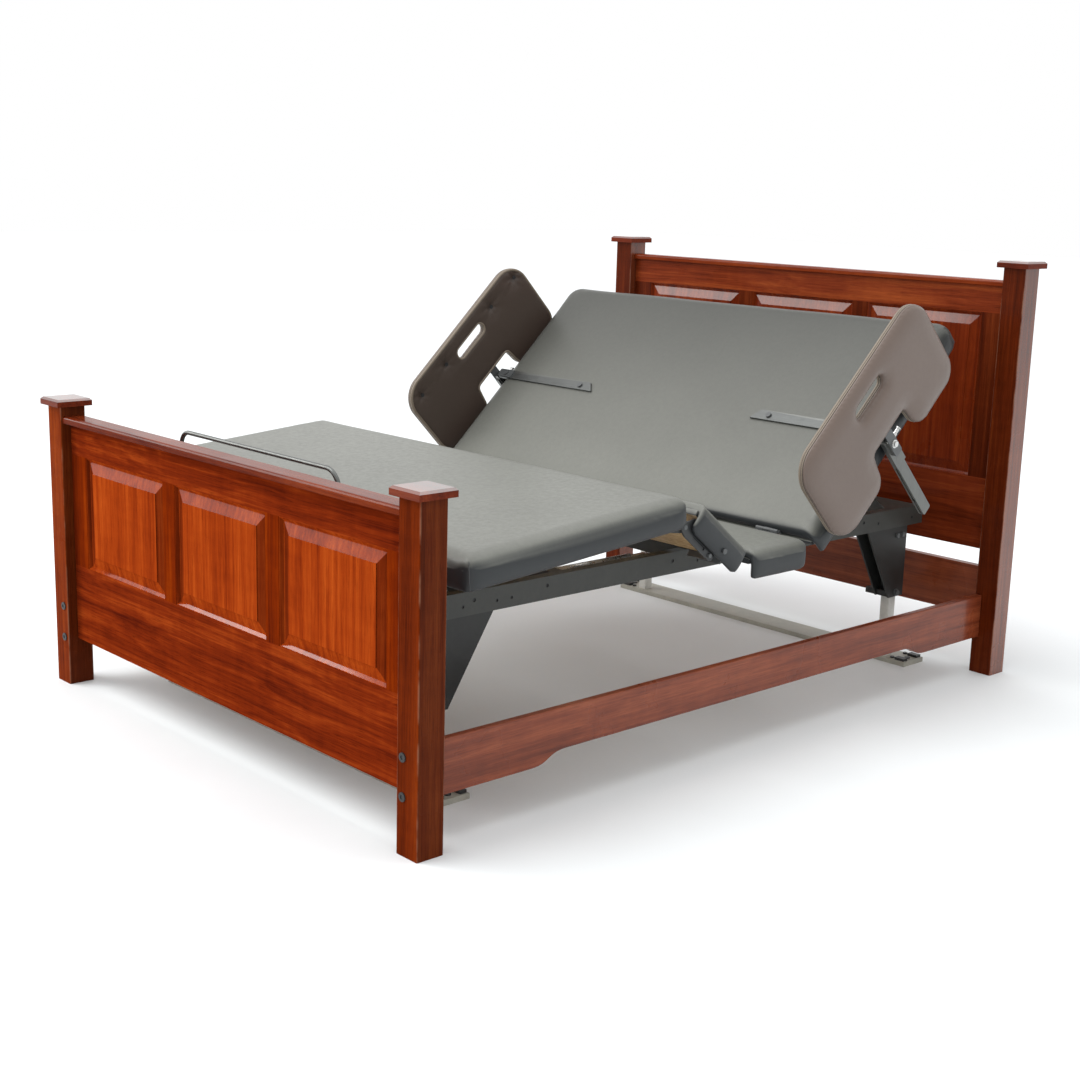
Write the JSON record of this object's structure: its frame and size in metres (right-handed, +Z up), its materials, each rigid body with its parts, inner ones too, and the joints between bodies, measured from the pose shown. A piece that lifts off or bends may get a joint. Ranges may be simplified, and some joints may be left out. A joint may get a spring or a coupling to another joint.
{
  "type": "adjustable hospital bed",
  "caption": "Adjustable bed with a wooden surround, sectioned padded deck raised at back and knees, height columns and drop-down assist rails.",
  "frame": {"origin": "centre of the bed's footprint, on the floor", "axes": "+Y from the foot end to the head end, +Z up, +X the bed's right side seen from the foot end"},
  "size_m": [1.73, 2.358, 1.2693],
  "materials": {
    "mahogany": "gloss",
    "plywood": "matte",
    "charcoal": "satin",
    "grey_steel": "satin",
    "column_white": "satin",
    "base_beige": "satin",
    "grey_vinyl": "satin",
    "taupe_vinyl": "satin",
    "brown_vinyl": "satin",
    "zinc": "polished",
    "black_plastic": "matte",
    "aluminium": "satin"
  },
  "bodies": {
    "base": {"foot_posts": "mahogany", "head_posts": "mahogany", "post_caps": "mahogany", "footboard_frame": "mahogany", "footboard_panels": "mahogany", "footboard_moulding": "mahogany", "headboard_frame": "mahogany", "headboard_panels": "mahogany", "headboard_moulding": "mahogany", "headboard_lower_board": "mahogany", "side_rails": "mahogany", "rail_bolt_caps": "black_plastic", "floor_base_bars": "base_beige", "base_fittings": "black_plastic", "lift_columns": "column_white"},
    "lift_frame": {"lift_sleeves": "charcoal", "column_gussets": "charcoal", "gusset_bolts": "charcoal", "side_channels": "charcoal", "cross_members": "charcoal", "link_shaft": "charcoal", "seat_board": "plywood", "seat_skirts": "grey_vinyl", "seat_cushion": "grey_vinyl", "seat_hinges": "zinc", "actuator_tubes": "aluminium", "actuator_motors": "black_plastic"},
    "back": {"back_board": "plywood", "back_skirts": "grey_vinyl", "back_cushion": "grey_vinyl", "back_hinge_leaves": "zinc", "back_lever": "charcoal", "rail_arms": "grey_steel", "rail_arm_brackets": "charcoal"},
    "thigh": {"thigh_board": "plywood", "thigh_skirts": "grey_vinyl", "thigh_cushion": "grey_vinyl", "thigh_hinge_leaves": "zinc", "thigh_brackets": "charcoal", "thigh_pins": "charcoal"},
    "foot": {"foot_board": "plywood", "foot_skirts": "grey_vinyl", "foot_cushion": "grey_vinyl", "foot_brackets": "charcoal", "mattress_retainer": "grey_steel"},
    "foot_support": {"foot_links": "charcoal"},
    "back_rod": {"back_actuator_rod": "zinc"},
    "knee_rod": {"knee_actuator_rod": "zinc"},
    "assist_rail_right": {"rail_right_inner_pad": "brown_vinyl", "rail_right_outer_pad": "taupe_vinyl", "rail_right_core_plate": "charcoal", "rail_right_carriage": "charcoal", "rail_right_fittings": "zinc"},
    "plunger_right": {"rail_right_plunger": "zinc"},
    "assist_rail_left": {"rail_left_inner_pad": "brown_vinyl", "rail_left_outer_pad": "taupe_vinyl", "rail_left_core_plate": "charcoal", "rail_left_carriage": "charcoal", "rail_left_fittings": "zinc"},
    "plunger_left": {"rail_left_plunger": "zinc"}
  },
  "joints": [
    {"name": "hi_lo", "type": "slide", "parent": "base", "child": "lift_frame", "axis": [0, 0, 1], "range_m": [-0.19, 0.03]},
    {"name": "back_hinge", "type": "hinge", "parent": "lift_frame", "child": "back", "pos_m": [0, 0.226, 0.538], "axis": [1, 0, 0], "range_deg": [-43.9, 22]},
    {"name": "thigh_hinge", "type": "hinge", "parent": "lift_frame", "child": "thigh", "pos_m": [0, -0.015, 0.538], "axis": [-1, 0, 0], "range_deg": [-38.9, 4]},
    {"name": "foot_hinge", "type": "hinge", "parent": "thigh", "child": "foot", "pos_m": [0, -0.25662, 0.62631], "axis": [1, 0, 0], "range_deg": [-43.66, 4.5]},
    {"name": "foot_link_swing", "type": "hinge", "parent": "lift_frame", "child": "foot_support", "pos_m": [0, -0.72045, 0.46225], "axis": [-1, 0, 0], "range_deg": [-47, 4.9]},
    {"name": "back_rod_slide", "type": "slide", "parent": "lift_frame", "child": "back_rod", "axis": [0, 1, 0], "range_m": [-0.109, 0.055]},
    {"name": "knee_rod_slide", "type": "slide", "parent": "lift_frame", "child": "knee_rod", "axis": [0, 1, 0], "range_m": [-0.0105, 0.0997]},
    {"name": "rail_right_drop", "type": "slide", "parent": "back", "child": "assist_rail_right", "axis": [0, 0.6934, -0.7206], "range_m": [0, 0.2]},
    {"name": "plunger_right_pull", "type": "slide", "parent": "assist_rail_right", "child": "plunger_right", "axis": [0, 0.7206, 0.6934], "range_m": [0, 0.008], "stiffness_N_per_m": 600, "springref_m": -0.004},
    {"name": "rail_left_drop", "type": "slide", "parent": "back", "child": "assist_rail_left", "axis": [0, 0.6934, -0.7206], "range_m": [0, 0.2]},
    {"name": "plunger_left_pull", "type": "slide", "parent": "assist_rail_left", "child": "plunger_left", "axis": [0, 0.7206, 0.6934], "range_m": [0, 0.008], "stiffness_N_per_m": 600, "springref_m": -0.004}
  ],
  "couplings": [
    {"joint": "foot_hinge", "follows": "thigh_hinge", "ratio": 1.1221},
    {"joint": "foot_link_swing", "follows": "thigh_hinge", "ratio": 1.2066},
    {"joint": "knee_rod_slide", "follows": "thigh_hinge", "m_per_rad": -0.1466},
    {"joint": "back_rod_slide", "follows": "back_hinge", "m_per_rad": 0.1419}
  ]
}
